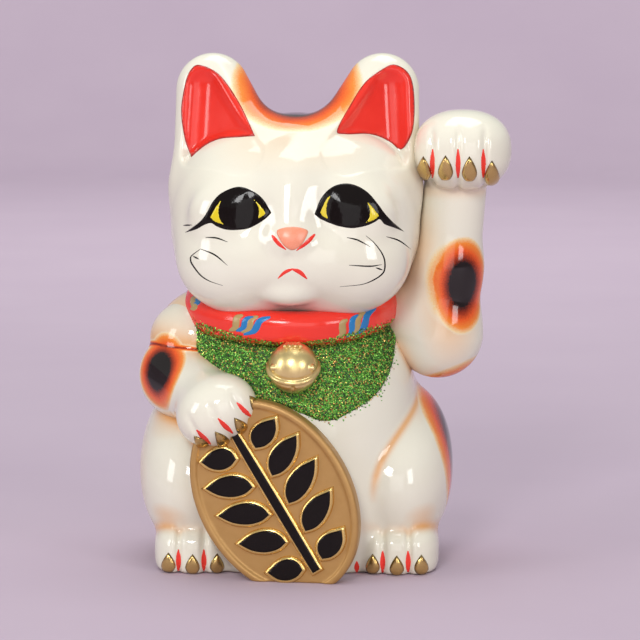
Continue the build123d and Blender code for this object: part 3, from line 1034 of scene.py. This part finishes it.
relief("stem", stem(3.3, -41, 42), stem(2.0, -39.6, 40))
LEAF_LENGTHS = (21, 27, 29, 27, 21)
RIM_WIDTH = 1.9  # gold left showing at a leaf's foot
for pair, length in enumerate(LEAF_LENGTHS):
    for side in (-1, 1):
        root = (side * 3.9, -37 + 15.2 * pair)
        tilt = -side * 55
        outer = placed(leaf(length, 13.4, side * 3.4), *root, tilt)
        turn = math.radians(tilt)
        inner_root = (root[0] - math.sin(turn) * RIM_WIDTH, root[1] + math.cos(turn) * RIM_WIDTH)
        inner = placed(leaf(length - 4.4, 10.4, side * 2.9), *inner_root, tilt)
        relief(f"leaf_{pair}_{'left' if side < 0 else 'right'}", outer, inner)

# ---- collar
COLLAR_TILT = math.radians(8.5)


def collar_field(p):
    q = p - COLLAR
    up = q[:, 2] * math.cos(COLLAR_TILT) - q[:, 1] * math.sin(COLLAR_TILT)
    back = q[:, 1] * math.cos(COLLAR_TILT) + q[:, 2] * math.sin(COLLAR_TILT)
    turn = np.arctan2(back, q[:, 0])
    flat = np.hypot(q[:, 0] + 2.2, back) - 1.8 + 0.35 * np.sin(3 * turn + 1) + 0.2 * np.sin(7 * turn)
    x = np.maximum(np.abs(flat - 43.2) - 7.0 + 6, 0)
    y = np.maximum(np.abs(up + 0.3 * np.sin(4 * turn)) - 8.0 + 6, 0)
    return np.sqrt(x * x + y * y) - 6


collar, _ = cast("collar", collar_field, collar_low - MARGIN, collar_high + MARGIN, 0.9)
finish_piece(collar, "red_glaze", red_glaze, "collar_band")
collar_tree = tree_of(collar)
collar_at = canvas(COLLAR)
COLLAR_STROKES = (
    (gold_stroke, (-25.5, -5.3), (-32.2, -13.0)), (blue_paint, (-20.4, -6.3), (-28.8, -13.0)),
    (gold_stroke, (-18.2, -6.0), (-26.3, -13.7)), (blue_paint, (-12.3, -6.3), (-25.2, -14.8)),
    (gold_stroke, (24.7, -7.5), (19.9, -16.3)), (blue_paint, (29.8, -5.3), (24.3, -15.9)),
    (gold_stroke, (33.1, -3.8), (25.8, -15.6)), (blue_paint, (38.3, -2.0), (28.3, -14.8)),
    (gold_stroke, (-47.6, 3.0), (-50.6, -2.6)), (blue_paint, (-45.6, 5.2), (-49.4, 0.0)),
)
for number, (paint, start, end) in enumerate(COLLAR_STROKES):
    start, end = np.array(start), np.array(end)
    bow = np.array((0.8, -0.8))
    points = (start, start + (end - start) * 0.33 - bow, start + (end - start) * 0.67 + bow, end)
    name = f"collar_stroke_{number}"
    stroke(name, collar_tree, collar_at, points, (2.9, 4.1, 2.7), paint, "red_glaze", 0.14)

# ---- bell
BELL_RADIUS = 12.0
BELL_TILT = math.radians(31)
bell_front = np.array((0, -math.cos(BELL_TILT), -math.sin(BELL_TILT)))
bell_axis = np.array((0, -math.sin(BELL_TILT), math.cos(BELL_TILT)))


def bell_field(p):
    q = p - BELL
    ball = np.sqrt((q * q).sum(axis=1)) - BELL_RADIUS
    height = q @ bell_axis
    reach = np.sqrt(np.maximum((q * q).sum(axis=1) - height * height, 0))
    lip = np.sqrt((reach - BELL_RADIUS + 0.1) ** 2 + height * height) - 1.1
    for place in (-1.9, 1.9):
        seam = np.sqrt((reach - BELL_RADIUS - 0.3) ** 2 + (height - place) ** 2) - 0.9
        ball = smax(ball, -seam, 0.7)
    ball = smin(ball, lip, 0.4)
    for side in (-1, 1):
        knob = rod(p, BELL + (side * 9.2, -7.6, 1.0), BELL + (side * 9.2, -8.4, 1.0), 1.7, 1.5)
        ball = smin(ball, knob, 0.7)
    for lean in (-3, -1, 1, 3):
        rib = rod(p, BELL + (lean * 0.9, -2, 11.5), BELL + (lean * 1.25, -6.6, 10.9), 0.95, 0.85)
        ball = smin(ball, rib, 0.5)
    slit = BELL + bell_front * 11.5 + bell_axis * -3.4
    return smax(ball, -rod(p, slit + (0.2, 0, 0), slit + bell_axis * -4.5 + (0.4, 0, 0), 1.0, 0.7), 0.5)


bell, _ = cast("bell", bell_field, bell_low - MARGIN, bell_high + MARGIN, 0.5)
finish_piece(bell, "bell_glaze", bell_gold, "bell")

# ---- glitter bib
BIB = (
    (-45.2, 21.9), (-45.2, 21.9), (-44.4, 8), (-36.1, -3.6), (-24.1, -11.7), (-13.5, -15.6),
    (-2.5, -18.6), (7.0, -22.6), (13.4, -25.2), (19.1, -25.4), (26.3, -22.8), (40.7, -13.2), (47.9, -1.2),
    (50.3, 10.8), (50.8, 21.9), (50.8, 21.9), (36, 19), (0, 14), (-34, 19),
)
bell_at = canvas(BELL - BELL_SHIFT)
chance = np.random.default_rng(5)
bib_outline = rounded(BIB, 6)


def lumpy(flat, depth):
    """Unevenness of the glued grains."""
    wave = np.sin(flat[:, 0] * 2.9 + np.sin(flat[:, 1] * 1.7) * 2) * np.sin(flat[:, 1] * 3.1 + flat[:, 0])
    return 0.16 * wave * np.clip(depth, 0, 1)


def glitter_material(name, colour, dark, metallic, roughness):
    material, tree, shader = new_material(name)
    tree.links.new(mix(tree, noise(tree, 600), dark, colour), shader.inputs["Base Color"])
    tree.links.new(uneven(tree, 900, 0.15, roughness), shader.inputs["Roughness"])
    shader.inputs["Metallic"].default_value = metallic
    return material


bib_base = glitter_material("bib_base", (0.045, 0.13, 0.02), (0.02, 0.07, 0.012), 0.2, 0.45)
film("bib", foot_tree, bell_at, bib_outline, bib_base, "glitter", 0.75, 1.2, 0.9, ("glitter_bib",), lumpy)
bib_tree = tree_of(bpy.data.objects["bib"], made["torso"], collar)
FLAKES = (
    ("green_flakes", (0.12, 0.42, 0.04), (0.05, 0.24, 0.02), 0.5, 0.22, 5200),
    ("bright_flakes", (0.34, 0.72, 0.12), (0.20, 0.52, 0.07), 0.45, 0.2, 3000),
    ("dark_flakes", (0.025, 0.08, 0.015), (0.012, 0.04, 0.01), 0.5, 0.3, 2400),
    ("gold_flakes", (0.80, 0.56, 0.16), (0.60, 0.38, 0.09), 0.8, 0.22, 1300),
    ("copper_flakes", (0.50, 0.20, 0.06), (0.34, 0.12, 0.03), 0.7, 0.28, 600),
)


def flake_places(count, strays):
    """Places for flakes about the bell's anchor: most inside the outline, a few strewn round it."""
    edge = np.array(bib_outline)
    low, high = edge.min(axis=0) - 7, edge.max(axis=0) + (7, 2)
    found = []
    while len(found) < count:
        dots = low + (high - low) * chance.random((4000, 2))
        within = inside(dots, edge)
        gap = edge_distance(dots, edge)
        keep = within | (chance.random(len(dots)) < strays * np.exp(-gap / 1.1))
        keep &= dots[:, 1] < 12.2 + 0.0055 * dots[:, 0] ** 2
        found += list(dots[keep])
    return np.array(found[:count])


def scatter(name, material, count, strays):
    """Tiny flat octahedral flakes lying at all angles on the bib."""
    points, faces = [], []
    signs = ((1, 0, 0), (-1, 0, 0), (0, 1, 0), (0, -1, 0), (0, 0, 1), (0, 0, -1))
    order = ((0, 2, 4), (2, 1, 4), (1, 3, 4), (3, 0, 4), (2, 0, 5), (1, 2, 5), (3, 1, 5), (0, 3, 5))
    for u, v in flake_places(count, strays) + bell_at:
        spot, normal = strike(bib_tree, u, v)
        tilt = Vector(chance.normal(size=3) * 0.42)
        up = (normal + tilt).normalized()
        along = up.orthogonal().normalized()
        turn = chance.random() * math.tau
        along = along * math.cos(turn) + up.cross(along) * math.sin(turn)
        other = up.cross(along)
        size = 0.34 + 0.22 * chance.random()
        first = len(points)
        centre = spot + normal * (0.10 + 0.15 * chance.random())
        for a, b, c in signs:
            points.append((centre + along * (a * size) + other * (b * size) + up * (c * 0.12)) * MM)
        faces += [(first + i, first + j, first + k) for i, j, k in order]
    finish_piece(mesh_object(name, [tuple(q) for q in points], faces, smooth=False), "glitter", material)


for name, colour, dark, metallic, roughness, count in FLAKES:
    strays = 0.45 if name in ("gold_flakes", "copper_flakes") else 0.22
    scatter(name, glitter_material(name, colour, dark, metallic, roughness), count, strays)

# ---- floor, backdrop and soft light
def floor_and_backdrop():
    """Plain pale floor that sweeps up into a low backdrop all round."""
    flat, bend, top, sectors = 2.4, 0.8, 1.1, 96
    profile = [(0.4, 0.0), (1.2, 0.0), (flat, 0.0)]
    for i in range(1, 13):
        angle = math.radians(7.5 * i)
        profile.append((flat + bend * math.sin(angle), bend * (1 - math.cos(angle))))
    profile.append((flat + bend, top))
    points, faces = [(0.0, 0.0, 0.0)], []
    for radius, z in profile:
        for i in range(sectors):
            angle = math.tau * i / sectors
            points.append((radius * math.cos(angle), radius * math.sin(angle), z))
    for i in range(sectors):
        j = (i + 1) % sectors
        faces.append((0, 1 + i, 1 + j))
        for ring in range(len(profile) - 1):
            low, high = 1 + ring * sectors, 1 + (ring + 1) * sectors
            faces.append((low + i, high + i, high + j, low + j))
    floor = mesh_object("floor", points, faces)
    material, tree, shader = new_material("floor")
    colour = mix(tree, noise(tree, 6), (0.50, 0.40, 0.49), (0.55, 0.45, 0.53))
    tree.links.new(colour, shader.inputs["Base Color"])
    shader.inputs["Roughness"].default_value = 0.75
    floor.data.materials.append(material)


def softbox(name, place, aim, width, height, power):
    light = bpy.data.lights.new(name, "AREA")
    light.shape = "RECTANGLE"
    light.size = width
    light.size_y = height
    light.energy = power
    lamp = bpy.data.objects.new(name, light)
    lamp.location = place
    lamp.rotation_euler = (Vector(aim) - Vector(place)).to_track_quat("-Z", "Y").to_euler()
    bpy.context.collection.objects.link(lamp)


floor_and_backdrop()
softbox("key", (-0.30, -1.70, 1.05), (0, 0, 0.12), 0.40, 0.40, 12.6)
softbox("fill", (1.25, -1.30, 0.65), (0, 0, 0.10), 0.5, 0.7, 7.4)
softbox("left", (-1.40, -0.75, 0.60), (0, 0, 0.10), 0.5, 0.8, 7)
softbox("front", (0.25, -1.95, 0.38), (0, 0, 0.08), 1.1, 1.1, 5.5)
softbox("wall", (0, 1.3, 1.6), (0, 2.8, 0.2), 2.4, 0.8, 28)
softbox("top", (0.1, 0.15, 1.5), (0, 0, 0.1), 0.9, 0.9, 9)
world = bpy.data.worlds.new("studio")
world.use_nodes = True
world.node_tree.nodes["Background"].inputs["Color"].default_value = (0.93, 0.97, 1.0, 1)
world.node_tree.nodes["Background"].inputs["Strength"].default_value = 0.38
bpy.context.scene.world = world
bpy.context.scene.view_settings.view_transform = "Standard"
